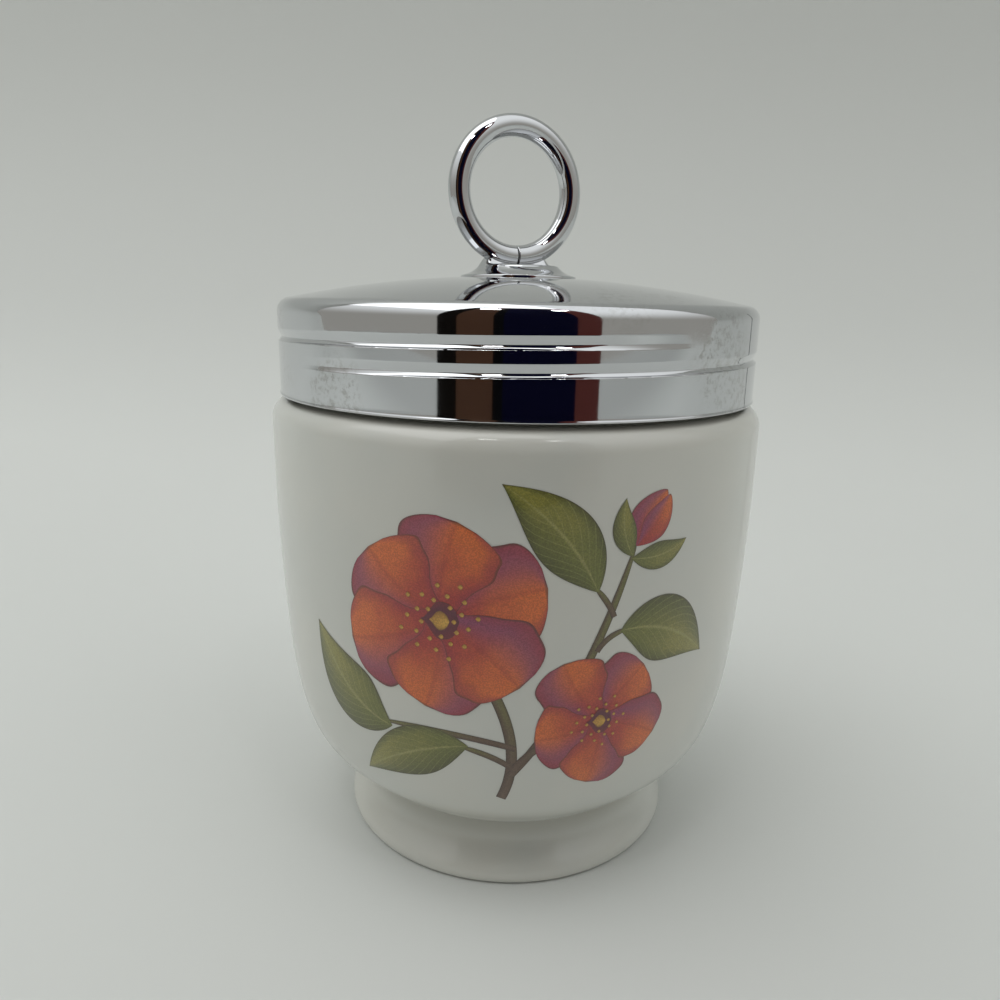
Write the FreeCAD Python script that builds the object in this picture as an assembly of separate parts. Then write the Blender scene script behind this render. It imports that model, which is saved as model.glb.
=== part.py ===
import FreeCAD, Part
import math
import os

# Porcelain egg coddler: a threaded porcelain cup closed by a pressed metal screw lid,
# with a wire lifting ring on a small collar that is riveted through the middle of the lid.
# Millimetres, +Z up, origin in the middle of the foot's resting face, -Y is the front.

# Lid: one pressing of chromed sheet
LID_R = 35.85              # outside radius of the skirt
LID_SHEET = 0.70           # thickness of the sheet
SKIRT_DROP = 17.25         # from the top of the dome down to the skirt's cut edge
LID_EDGE_FLARE = 0.22      # how far the cut edge stands out past the skirt
LID_FLARE_H = 1.30         # height over which the edge flares
LID_TOP_Z = 87.00          # top of the shallow dome, at the axis, with the lid screwed home
DOME_R = 162.0             # spherical radius of the dome
LID_CORNER_R = 1.90        # outside radius where the dome turns down into the skirt

# Thread: a round groove rolled into the skirt, right-handed, eight turns to the inch
PITCH = 3.175
GROOVE_DEPTH = 0.80        # depth of the rolled groove in the skirt
GROOVE_HALF_W = 0.95       # half its width, a little outside the skirt's surface
GROOVE_RISE = 5.65         # from the cut edge up to the groove where it first crosses the front
LID_THREAD_START = -142.0  # degrees about +Z, 0 on +X, where the groove fades in
LID_THREAD_SWEEP = 449.0   # degrees from one end of the groove to the other
NECK_THREAD_START = -330.0
NECK_THREAD_SWEEP = 440.0
NECK_THREAD_H = 0.80       # how far the moulded thread stands out from the neck
NECK_THREAD_HALF_W = 0.75  # half the width of its root
THREAD_FADE = 38.0         # degrees over which either thread runs out
THREAD_BIAS = 0.10         # how far the neck's thread sits below the middle of its gap
THREAD_STEP = 7.5          # degrees from one section of a thread to the next
THREAD_ROOT = 0.20         # how deep a thread's root is buried in its wall
THREAD_END = 0.03          # share of a thread's stand that is left at its very ends

# Cup: slip-cast porcelain with a foot ring and a threaded neck, one firing
FOOT_R = 25.9              # outer edge of the flat ring that the cup stands on
FOOT_LAND = 1.9            # width of that flat ring
FOOT_ROUND = 1.1           # radius of the foot's rounded edge, outside the flat ring
WAIST_IN = 3.0             # how far the waist draws in from the foot's widest line
WAIST_Z = 8.65             # height of the waist, where foot and belly meet
FLARE_SHARE = 0.72         # share of that draw-in reached half-way up the foot
WAIST_LEAN = -0.10         # inward lean of the foot where it meets the waist, out over up
RECESS_DEPTH = 6.2         # depth of the hollow under the foot
RECESS_CORNER_R = 2.0
FOOT_WALL = 3.2            # thickness of the foot ring at the top of the hollow
BODY_PROUD = 1.35          # how far the body stands out past the lid's skirt
WIDEST_SHARE = 0.86        # height of the body's widest line, as a share of the lid's edge height
WALL = 3.30                # thickness of the body
FLOOR_T = 3.40             # thickness of the floor above the waist
FLOOR_FLAT_R = 17.0        # radius of the flat middle of the floor
SHOULDER_R = 3.00          # outside radius of the shoulder under the lid
NECK_WALL = 3.60
NECK_ROOT_R = 0.45         # fillet where the neck rises from the shoulder
RIM_ROUND = 1.10           # rounding of the rim, inside and outside

# Belly: shares of the way out from the waist to the body's radius, and of the way up
BELLY = ((0.33, 0.070), (0.615, 0.147), (0.80, 0.265), (0.942, 0.550))
BELLY_RISE = 0.62          # how steeply the belly leaves the waist, up over out

# Collar and ring
COLLAR_R = 8.80            # radius of the collar's foot on the dome
COLLAR_TOP_R = 6.20
COLLAR_H = 1.60            # height of the collar above the top of the dome
COLLAR_EDGE = 0.30         # height of the collar's outer edge
COLLAR_HOLLOW = 0.35       # how far its side is hollowed towards the axis
COLLAR_DIP = 0.18          # and how far down
COLLAR_LIP_H = 0.25        # height of the rounding at the edge of its top
COLLAR_LIP_W = 0.50        # width of that rounding
SADDLE_LENGTH = 11.6       # length of the brazed saddle under the ring
SADDLE_WIDTH = 2.30
SADDLE_H = 1.50            # how far the saddle rises above the collar
SADDLE_ROOT = 0.30         # how deep it is rooted in the collar
RING_R = 9.15              # radius of the wire's centre line
WIRE_R = 1.60
RING_SINK = 0.25           # how far the wire is let into the collar
RING_TURN = 26.6           # degrees about +Z from +X to the ring's plane
RING_OFFSET = -0.67        # how far the ring's middle lies off the axis, along its plane
RING_GAP = 0.30            # gap where the wire's two ends meet
WIRE_CHAMFER = 0.15        # at the wire's two ends

# Rivet: holds the collar to the lid and is headed inside
RIVET_R = 2.00
RIVET_HEAD_R = 4.20
RIVET_HEAD_H = 1.10
RIVET_HEAD_EDGE = 0.30     # height of the straight edge of its head
RIVET_DEPTH = 0.95         # how far the rivet reaches up into the collar

# Clearances
SEAT_GAP = 0.15            # between the cup's rim and the inside of the dome
EDGE_GAP = 0.50            # between the cup's shoulder and the lid's cut edge
NECK_GAP = 0.45            # between the neck and the crest of the lid's thread
RUN_FIT = 0.06             # radial, round the rivet
HEAD_GAP = 0.10            # between the rivet's head and the dome

# Sizes that follow from those above
LID_IN_R = LID_R - LID_SHEET
LID_CREST_R = LID_IN_R - GROOVE_DEPTH
LID_EDGE_Z = LID_TOP_Z - SKIRT_DROP
GROOVE_FRONT_Z = LID_EDGE_Z + GROOVE_RISE
NECK_R = LID_CREST_R - NECK_GAP
NECK_IN_R = NECK_R - NECK_WALL
BODY_R = LID_R + BODY_PROUD
BODY_WIDEST_Z = WIDEST_SHARE * LID_EDGE_Z
SHOULDER_Z = LID_EDGE_Z - EDGE_GAP
FLOOR_Z = WAIST_Z + FLOOR_T
FOOT_EDGE_R = FOOT_R + FOOT_ROUND
WAIST_R = FOOT_EDGE_R - WAIST_IN
DOME_CENTRE_Z = LID_TOP_Z - DOME_R
COLLAR_TOP_Z = LID_TOP_Z + COLLAR_H
RING_Z = COLLAR_TOP_Z - RING_SINK + WIRE_R + RING_R


def at(r, z):
    """A point of an outline: radius and height in the XZ plane."""
    return FreeCAD.Vector(r, 0.0, z)


def line(a, b):
    """A straight edge."""
    return Part.LineSegment(a, b).toShape()


def arc(a, middle, b):
    """An edge on the circle through three points."""
    return Part.Arc(a, middle, b).toShape()


def arc_about(centre, radius, from_deg, to_deg):
    """An edge on a circle in the XZ plane, between two angles above +X."""
    def spot(deg):
        turn = math.radians(deg)
        return centre + at(radius * math.cos(turn), radius * math.sin(turn))
    return arc(spot(from_deg), spot((from_deg + to_deg) / 2.0), spot(to_deg))


def curve(points, start=None, end=None):
    """A smooth edge through points, with a given direction at either end."""
    spline = Part.BSplineCurve()
    if start is None:
        spline.interpolate(Points=points)
    else:
        spline.interpolate(Points=points, InitialTangent=start, FinalTangent=end)
    return spline.toShape()


def first(edge):
    """The point where an edge of an outline starts."""
    return edge.valueAt(edge.FirstParameter)


def last(edge):
    """The point where an edge of an outline ends."""
    return edge.valueAt(edge.LastParameter)


def turned(edges):
    """The solid that a closed outline sweeps in a full turn about Z."""
    face = Part.Face(Part.Wire(edges))
    return face.revolve(FreeCAD.Vector(0, 0, 0), FreeCAD.Vector(0, 0, 1), 360.0)


def dome_height(r, sheet=0.0):
    """Height of the dome's outer face at a radius, or of a face that deep below it."""
    return DOME_CENTRE_Z + math.sqrt((DOME_R - sheet) ** 2 - r ** 2)


def dome_edge(r_from, r_to, sheet=0.0):
    """The part of the dome's outline between two radii."""
    middle = (r_from + r_to) / 2.0
    return arc(at(r_from, dome_height(r_from, sheet)),
               at(middle, dome_height(middle, sheet)),
               at(r_to, dome_height(r_to, sheet)))


def groove_height(deg):
    """Height of the lid's groove at an angle about the axis."""
    return GROOVE_FRONT_Z + PITCH * (deg + 90.0) / 360.0


def neck_thread_height(deg):
    """Height of the neck's thread, which runs in the gap above the lid's own."""
    return groove_height(deg) + PITCH / 2.0 - THREAD_BIAS


def fade(deg, start, sweep):
    """How fully a thread stands out at an angle: 0 at its ends, 1 between its run-outs."""
    run = min(deg - start, start + sweep - deg) / THREAD_FADE
    run = max(0.0, min(1.0, run))
    return run * run * (3.0 - 2.0 * run)


def thread_bar(start, sweep, height, chord_r, crest_r, half_w):
    """A bar along a helix, with a round crest, that runs out into its chord at both ends."""
    steps = int(math.ceil(sweep / THREAD_STEP))
    sections = []
    for step in range(steps + 1):
        deg = start + sweep * step / steps
        stand = THREAD_END + (1.0 - THREAD_END) * fade(deg, start, sweep)
        crest = chord_r + (crest_r - chord_r) * stand
        z = height(deg)
        upper = at(chord_r, z + half_w)
        lower = at(chord_r, z - half_w)
        section = Part.Wire([arc(upper, at(crest, z), lower), line(lower, upper)])
        section.rotate(FreeCAD.Vector(0, 0, 0), FreeCAD.Vector(0, 0, 1), deg)
        sections.append(section)
    return Part.makeLoft(sections, True, True)


def belly_points():
    """Points of the body's outer outline, from the waist to the widest line."""
    rise = BODY_WIDEST_Z - WAIST_Z
    points = [at(WAIST_R, WAIST_Z)]
    for out, up in BELLY:
        points.append(at(WAIST_R + out * (BODY_R - WAIST_R), WAIST_Z + up * rise))
    points.append(at(BODY_R, BODY_WIDEST_Z))
    return points


def inner_belly_points():
    """The outer points moved in by the wall's thickness, square to the outline."""
    outer = belly_points()
    inner = [at(FLOOR_FLAT_R, FLOOR_Z)]
    for before, here, after in zip(outer[1:], outer[2:], outer[3:]):
        along = (after - before).normalize()
        inner.append(here + at(-along.z, along.x) * WALL)
    inner.append(at(BODY_R - WALL, BODY_WIDEST_Z))
    return inner


def foot_edges():
    """The foot's outline: the hollow, the flat ring, the rounded edge and the flare."""
    recess_top_r = WAIST_R - FOOT_WALL
    land_in_r = FOOT_R - FOOT_LAND
    corner = at(recess_top_r - RECESS_CORNER_R, RECESS_DEPTH - RECESS_CORNER_R)
    ceiling = line(at(0, RECESS_DEPTH), at(corner.x, RECESS_DEPTH))
    turn = arc_about(corner, RECESS_CORNER_R, 90, 0)
    inside = curve([last(turn), at((recess_top_r + land_in_r) / 2.0, corner.z / 3.0), at(land_in_r, 0)])
    land = line(at(land_in_r, 0), at(FOOT_R, 0))
    edge = arc_about(at(FOOT_R, FOOT_ROUND), FOOT_ROUND, -90, 0)
    drawn_in = FOOT_EDGE_R - FLARE_SHARE * WAIST_IN
    flare = curve([last(edge), at(drawn_in, (FOOT_ROUND + WAIST_Z) / 2.0), at(WAIST_R, WAIST_Z)],
                  FreeCAD.Vector(0, 0, 1), FreeCAD.Vector(WAIST_LEAN, 0, 1))
    return [ceiling, turn, inside, land, edge, flare]


def rim_height():
    """Height of the cup's rim, just clear of the inside of the dome."""
    return dome_height(NECK_R - RIM_ROUND, LID_SHEET) - SEAT_GAP


def porcelain_cup():
    """The cup: foot, belly, shoulder and threaded neck, hollow inside and under the foot."""
    up = FreeCAD.Vector(0, 0, 1)
    out = FreeCAD.Vector(1, 0, 0)
    rim = rim_height()
    belly = curve(belly_points(), FreeCAD.Vector(1, 0, BELLY_RISE), up)
    shoulder = at(BODY_R - SHOULDER_R, SHOULDER_Z - SHOULDER_R)
    root = at(NECK_R + NECK_ROOT_R, SHOULDER_Z + NECK_ROOT_R)
    rim_out = at(NECK_R - RIM_ROUND, rim - RIM_ROUND)
    rim_in = at(NECK_IN_R + RIM_ROUND, rim - RIM_ROUND)
    neck_in_low = at(NECK_IN_R, SHOULDER_Z + NECK_ROOT_R)
    edges = foot_edges() + [
        belly,
        line(last(belly), at(BODY_R, shoulder.z)),
        arc_about(shoulder, SHOULDER_R, 0, 90),
        line(at(shoulder.x, SHOULDER_Z), at(root.x, SHOULDER_Z)),
        arc_about(root, NECK_ROOT_R, -90, -180),
        line(at(NECK_R, root.z), at(NECK_R, rim_out.z)),
        arc_about(rim_out, RIM_ROUND, 0, 90),
        line(at(rim_out.x, rim), at(rim_in.x, rim)),
        arc_about(rim_in, RIM_ROUND, 90, 180),
        line(at(NECK_IN_R, rim_in.z), neck_in_low),
        curve([neck_in_low, at(BODY_R - WALL, BODY_WIDEST_Z)], -up, -up),
        curve(list(reversed(inner_belly_points())), -up, -out),
        line(at(FLOOR_FLAT_R, FLOOR_Z), at(0, FLOOR_Z)),
        line(at(0, FLOOR_Z), at(0, RECESS_DEPTH)),
    ]
    thread = thread_bar(NECK_THREAD_START, NECK_THREAD_SWEEP, neck_thread_height,
                        NECK_R - THREAD_ROOT, NECK_R + NECK_THREAD_H, NECK_THREAD_HALF_W)
    return turned(edges).fuse(thread)


def lid_shell():
    """The lid: domed top, rounded corner and skirt with the thread rolled through the sheet."""
    reach = DOME_R - LID_CORNER_R
    corner_r = LID_R - LID_CORNER_R
    corner_z = DOME_CENTRE_Z + math.sqrt(reach ** 2 - corner_r ** 2)
    corner = at(corner_r, corner_z)
    lean = math.degrees(math.atan2(corner_z - DOME_CENTRE_Z, corner_r))
    hole_r = RIVET_R + RUN_FIT
    flare_z = LID_EDGE_Z + LID_FLARE_H
    outer_turn = arc_about(corner, LID_CORNER_R, 0, lean)
    inner_turn = arc_about(corner, LID_CORNER_R - LID_SHEET, lean, 0)
    outer_dome = dome_edge(last(outer_turn).x, hole_r)
    inner_dome = dome_edge(hole_r, first(inner_turn).x, LID_SHEET)
    edges = [
        line(at(LID_IN_R + LID_EDGE_FLARE, LID_EDGE_Z), at(LID_R + LID_EDGE_FLARE, LID_EDGE_Z)),
        line(at(LID_R + LID_EDGE_FLARE, LID_EDGE_Z), at(LID_R, flare_z)),
        line(at(LID_R, flare_z), at(LID_R, corner_z)),
        outer_turn,
        outer_dome,
        line(last(outer_dome), first(inner_dome)),
        inner_dome,
        inner_turn,
        line(at(LID_IN_R, corner_z), at(LID_IN_R, flare_z)),
        line(at(LID_IN_R, flare_z), at(LID_IN_R + LID_EDGE_FLARE, LID_EDGE_Z)),
    ]
    ridge = thread_bar(LID_THREAD_START, LID_THREAD_SWEEP, groove_height,
                       LID_IN_R + THREAD_ROOT, LID_CREST_R, GROOVE_HALF_W + LID_SHEET / 2.0)
    groove = thread_bar(LID_THREAD_START, LID_THREAD_SWEEP, groove_height,
                        LID_R + THREAD_ROOT, LID_R - GROOVE_DEPTH, GROOVE_HALF_W)
    return turned(edges).fuse(ridge).cut(groove)


def ring_place():
    """Where the ring's middle is, and the direction square to its plane."""
    turn = math.radians(RING_TURN)
    middle = FreeCAD.Vector(RING_OFFSET * math.cos(turn), RING_OFFSET * math.sin(turn), RING_Z)
    normal = FreeCAD.Vector(-math.sin(turn), math.cos(turn), 0)
    return middle, normal


def lift_ring(gap=RING_GAP):
    """The ring: round wire bent until its ends meet on top of the collar."""
    middle, normal = ring_place()
    gap_deg = math.degrees(gap / RING_R)
    wire = Part.makeTorus(RING_R, WIRE_R, FreeCAD.Vector(0, 0, 0), FreeCAD.Vector(0, 0, 1),
                          -180, 180, 360.0 - gap_deg)
    ends = [edge for edge in wire.Edges
            if abs(edge.Length - 2.0 * math.pi * WIRE_R) < 0.01]
    wire = wire.makeChamfer(WIRE_CHAMFER, ends)
    wire.rotate(FreeCAD.Vector(0, 0, 0), FreeCAD.Vector(0, 0, 1), gap_deg / 2.0 - 90.0)
    wire.rotate(FreeCAD.Vector(0, 0, 0), FreeCAD.Vector(1, 0, 0), 90.0)
    wire.rotate(FreeCAD.Vector(0, 0, 0), FreeCAD.Vector(0, 0, 1), RING_TURN)
    wire.translate(middle)
    return wire


def ring_collar():
    """The collar: a low turned boss with the brazed saddle that the ring lies in."""
    bore_r = RIVET_R + RUN_FIT
    bore_z = LID_TOP_Z + RIVET_DEPTH + HEAD_GAP
    foot = dome_edge(bore_r, COLLAR_R)
    edge_z = last(foot).z + COLLAR_EDGE
    hollow = at((COLLAR_R + COLLAR_TOP_R) / 2.0 - COLLAR_HOLLOW, (edge_z + COLLAR_TOP_Z) / 2.0 - COLLAR_DIP)
    lip = at(COLLAR_TOP_R, COLLAR_TOP_Z - COLLAR_LIP_H)
    lip_turn = at(COLLAR_TOP_R - 0.3 * COLLAR_LIP_W, COLLAR_TOP_Z - 0.28 * COLLAR_LIP_H)
    top = at(COLLAR_TOP_R - COLLAR_LIP_W, COLLAR_TOP_Z)
    outline = [
        foot,
        line(last(foot), at(COLLAR_R, edge_z)),
        arc(at(COLLAR_R, edge_z), hollow, lip),
        arc(lip, lip_turn, top),
        line(top, at(0, COLLAR_TOP_Z)),
        line(at(0, COLLAR_TOP_Z), at(0, bore_z)),
        line(at(0, bore_z), at(bore_r, bore_z)),
        line(at(bore_r, bore_z), first(foot)),
    ]
    half = (SADDLE_LENGTH - SADDLE_WIDTH) / 2.0
    web = Part.makeBox(2.0 * half, SADDLE_WIDTH, SADDLE_ROOT + SADDLE_H,
                       FreeCAD.Vector(-half, -SADDLE_WIDTH / 2.0, COLLAR_TOP_Z - SADDLE_ROOT))
    for end in (-half, half):
        web = web.fuse(Part.makeCylinder(SADDLE_WIDTH / 2.0, SADDLE_ROOT + SADDLE_H,
                                         FreeCAD.Vector(end, 0, COLLAR_TOP_Z - SADDLE_ROOT)))
    web = web.removeSplitter()
    web.rotate(FreeCAD.Vector(0, 0, 0), FreeCAD.Vector(0, 0, 1), RING_TURN)
    middle, normal = ring_place()
    web.translate(FreeCAD.Vector(middle.x, middle.y, 0))
    under_ring = Part.makeCylinder(RING_R, 4.0 * WIRE_R, middle - normal * 2.0 * WIRE_R, normal)
    bed = Part.makeTorus(RING_R, WIRE_R, middle, normal)
    return turned(outline).fuse(web).cut(under_ring).cut(bed)


def ring_rivet():
    """The rivet: its shank stands in the collar and its head is formed inside the lid."""
    head_z = dome_height(RIVET_HEAD_R, LID_SHEET) - HEAD_GAP
    shank_z = LID_TOP_Z + RIVET_DEPTH
    head_low = head_z - RIVET_HEAD_H
    bow = at(0.6 * RIVET_HEAD_R, head_low + 0.25 * RIVET_HEAD_H)
    rim = at(RIVET_HEAD_R, head_z - RIVET_HEAD_EDGE)
    outline = [
        line(at(0, shank_z), at(0, head_low)),
        arc(at(0, head_low), bow, rim),
        line(rim, at(RIVET_HEAD_R, head_z)),
        line(at(RIVET_HEAD_R, head_z), at(RIVET_R, head_z)),
        line(at(RIVET_R, head_z), at(RIVET_R, shank_z)),
        line(at(RIVET_R, shank_z), at(0, shank_z)),
    ]
    return turned(outline)


def save(name, shape):
    """Write one piece and print what it holds."""
    box = shape.BoundBox
    print(name, "solids", len(shape.Solids), "valid", shape.isValid(), "volume %.1f" % shape.Volume,
          "z %.2f to %.2f" % (box.ZMin, box.ZMax))
    shape.exportStep("parts/%s.step" % name)


def main():
    """Build every piece and write it under its own name."""
    os.makedirs("parts", exist_ok=True)
    save("porcelain_cup", porcelain_cup())
    save("lid_shell", lid_shell())
    save("ring_collar", ring_collar())
    save("lift_ring", lift_ring())
    save("ring_rivet", ring_rivet())


main()
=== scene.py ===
import logging
import math
from dataclasses import dataclass, field
from enum import Enum
from typing import Iterable, Optional, Sequence

import bmesh
import bpy
import numpy as np
from mathutils import Matrix, Vector


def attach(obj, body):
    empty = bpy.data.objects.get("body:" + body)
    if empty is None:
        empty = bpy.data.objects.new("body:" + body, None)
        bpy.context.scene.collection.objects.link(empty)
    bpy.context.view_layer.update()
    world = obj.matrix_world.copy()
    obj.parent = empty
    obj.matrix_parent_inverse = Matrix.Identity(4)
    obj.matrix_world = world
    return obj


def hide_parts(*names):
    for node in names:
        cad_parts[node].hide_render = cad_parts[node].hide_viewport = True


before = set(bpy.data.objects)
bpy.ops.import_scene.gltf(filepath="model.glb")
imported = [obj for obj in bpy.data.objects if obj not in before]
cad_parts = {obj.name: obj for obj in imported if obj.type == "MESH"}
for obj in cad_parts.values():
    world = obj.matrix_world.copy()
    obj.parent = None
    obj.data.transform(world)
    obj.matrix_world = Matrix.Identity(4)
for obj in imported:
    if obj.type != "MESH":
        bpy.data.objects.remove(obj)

logging.basicConfig(level=logging.INFO, format="%(name)s: %(message)s")
log = logging.getLogger("coddler")

MM = 0.001
FULL_TURN = 2.0 * math.pi
FULL_DEG = 360.0
GOLDEN_TURN = 2.399963
AXIS = Vector((0.0, 0.0, 1.0))
DOWN = Vector((0.0, 0.0, -1.0))
INWARDS = Vector((-1.0, 0.0, 0.0))
WELD = 2e-7

Colour = tuple[float, float, float]
Socket = bpy.types.NodeSocket


class Body(Enum):
    """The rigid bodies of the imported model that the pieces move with."""

    CUP = "cup"
    LID = "lid"
    RIVET = "rivet"


class Slot(Enum):
    """The record's material slots."""

    PORCELAIN = "porcelain"
    LID = "chromed_lid"
    RING = "chromed_ring"
    RIVET = "rivet_metal"


def smooth_step(value: float) -> float:
    """Eases a number between 0 and 1, held at both ends."""
    held = max(0.0, min(1.0, value))
    return held * held * (3.0 - 2.0 * held)


def spline(points: Sequence[Vector], start: Optional[Vector], end: Optional[Vector],
           steps: int) -> list[Vector]:
    """Draws one smooth cubic through points, with even curvature across each of them.

    Args:
        points: The points it passes.
        start: Direction at the first point, or None to leave it free.
        end: Direction at the last point, or None to leave it free.
        steps: Points drawn between each pair.

    Returns:
        The drawn points, the first and the last included.
    """
    given = np.array([tuple(p) for p in points])
    gaps = np.linalg.norm(np.diff(given, axis=0), axis=1)
    count = len(given)
    matrix = np.zeros((count, count))
    right = np.zeros_like(given)
    for i in range(1, count - 1):
        before, after = gaps[i - 1], gaps[i]
        matrix[i, i - 1] = 1.0 / before
        matrix[i, i] = 2.0 / before + 2.0 / after
        matrix[i, i + 1] = 1.0 / after
        right[i] = 3.0 * ((given[i] - given[i - 1]) / before ** 2
                          + (given[i + 1] - given[i]) / after ** 2)
    for row, near, gap, direction in ((0, 1, gaps[0], start), (count - 1, count - 2, gaps[-1], end)):
        if direction is None:
            matrix[row, row], matrix[row, near] = 2.0, 1.0
            right[row] = 3.0 * (given[max(row, near)] - given[min(row, near)]) / gap
        else:
            matrix[row, row] = 1.0
            right[row] = tuple(direction.normalized())
    slopes = np.linalg.solve(matrix, right)
    drawn = [Vector(given[0])]
    for i in range(count - 1):
        for step in range(1, steps + 1):
            t = step / steps
            drawn.append(Vector((2 * t ** 3 - 3 * t ** 2 + 1) * given[i]
                                + (t ** 3 - 2 * t ** 2 + t) * gaps[i] * slopes[i]
                                + (3 * t ** 2 - 2 * t ** 3) * given[i + 1]
                                + (t ** 3 - t ** 2) * gaps[i] * slopes[i + 1]))
    return drawn


@dataclass
class Outline:
    """A line of points in the XZ plane, radius and height in millimetres, that a piece is spun from."""

    points: list[Vector] = field(default_factory=list)

    def to(self, r: float, z: float, gap: Optional[float] = None) -> "Outline":
        """Goes straight to a point.

        Args:
            r: Radius of the point.
            z: Height of the point.
            gap: Greatest distance between drawn points, or None for one stride.

        Returns:
            The outline, to go on from.
        """
        goal = Vector((r, 0.0, z))
        strides = 1
        if self.points and gap:
            strides = max(1, math.ceil((goal - self.points[-1]).length / gap))
        origin = self.points[-1] if self.points else goal
        for stride in range(1, strides + 1):
            self.points.append(origin.lerp(goal, stride / strides))
        return self

    def arc(self, r: float, z: float, radius: float, from_deg: float, to_deg: float,
            steps: int) -> "Outline":
        """Goes round a circle between two angles above the radius direction.

        Args:
            r: Radius of the circle's middle from the axis.
            z: Height of the circle's middle.
            radius: The circle's own radius.
            from_deg: First angle.
            to_deg: Last angle.
            steps: Strides along it.

        Returns:
            The outline, to go on from.
        """
        for step in range(steps + 1):
            turn = math.radians(from_deg + (to_deg - from_deg) * step / steps)
            spot = Vector((r + radius * math.cos(turn), 0.0, z + radius * math.sin(turn)))
            if not self.points or (spot - self.points[-1]).length > 1e-4:
                self.points.append(spot)
        return self

    def curve(self, through: Sequence[tuple[float, float]], start: Optional[Vector],
              end: Optional[Vector], steps: int) -> "Outline":
        """Goes along a smooth curve from where the outline stands.

        Args:
            through: Radius and height of each point to pass, the last one included.
            start: Direction at its start, or None.
            end: Direction at its end, or None.
            steps: Strides between two points.

        Returns:
            The outline, to go on from.
        """
        points = [self.points[-1]] + [Vector((r, 0.0, z)) for r, z in through]
        self.points.extend(spline(points, start, end, steps)[1:])
        return self

    def spun(self, steps: int, closed: bool = False) -> bmesh.types.BMesh:
        """Spins the outline a full turn about the axis.

        Args:
            steps: Strides round the axis.
            closed: Whether the outline's end joins its start.

        Returns:
            The spun mesh in metres, with its doubles merged and its faces outwards.
        """
        bm = bmesh.new()
        corners = [bm.verts.new(point * MM) for point in self.points]
        pairs = list(zip(corners, corners[1:]))
        if closed:
            pairs.append((corners[-1], corners[0]))
        edges = [bm.edges.new(pair) for pair in pairs]
        bmesh.ops.spin(bm, geom=corners + edges, cent=(0, 0, 0), axis=AXIS, angle=FULL_TURN,
                       steps=steps, use_merge=True)
        bmesh.ops.remove_doubles(bm, verts=bm.verts, dist=WELD)
        bmesh.ops.recalc_face_normals(bm, faces=bm.faces)
        return bm


def meshed(name: str, bm: bmesh.types.BMesh) -> bpy.types.Mesh:
    """Turns a bmesh into a mesh and frees it."""
    mesh = bpy.data.meshes.new(name)
    bm.to_mesh(mesh)
    bm.free()
    return mesh


def linked(name: str, data: bpy.types.ID) -> bpy.types.Object:
    """Puts a mesh, a light or a camera into the scene as an object."""
    made = bpy.data.objects.new(name, data)
    bpy.context.scene.collection.objects.link(made)
    return made


def piece(name: str, bm: bmesh.types.BMesh, materials: Sequence[bpy.types.Material], body: Body,
          sharp_deg: float = 50.0,
          facing: Optional[dict[int, Vector]] = None) -> bpy.types.Object:
    """Makes a finished piece from a mesh and lets it ride on its body.

    Args:
        name: The piece's name.
        bm: Its mesh in metres, in its place. It is freed.
        materials: Its materials, in the order of the faces' numbers.
        body: The body it moves with.
        sharp_deg: Edges that turn more than this stay crisp.
        facing: The surface's true direction at some vertices, by number.

    Returns:
        The new object.
    """
    mesh = meshed(name, bm)
    mesh.shade_smooth()
    mesh.set_sharp_from_angle(angle=math.radians(sharp_deg))
    if facing:
        corners = [Vector(normal.vector) for normal in mesh.corner_normals]
        for loop in mesh.loops:
            if loop.vertex_index in facing:
                corners[loop.index] = facing[loop.vertex_index]
        mesh.normals_split_custom_set(corners)
    for material in materials:
        mesh.materials.append(material)
    made = linked(name, mesh)
    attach(made, body.value)
    log.info("%s: %d faces, rides on %s", name, len(mesh.polygons), body.value)
    return made


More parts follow.
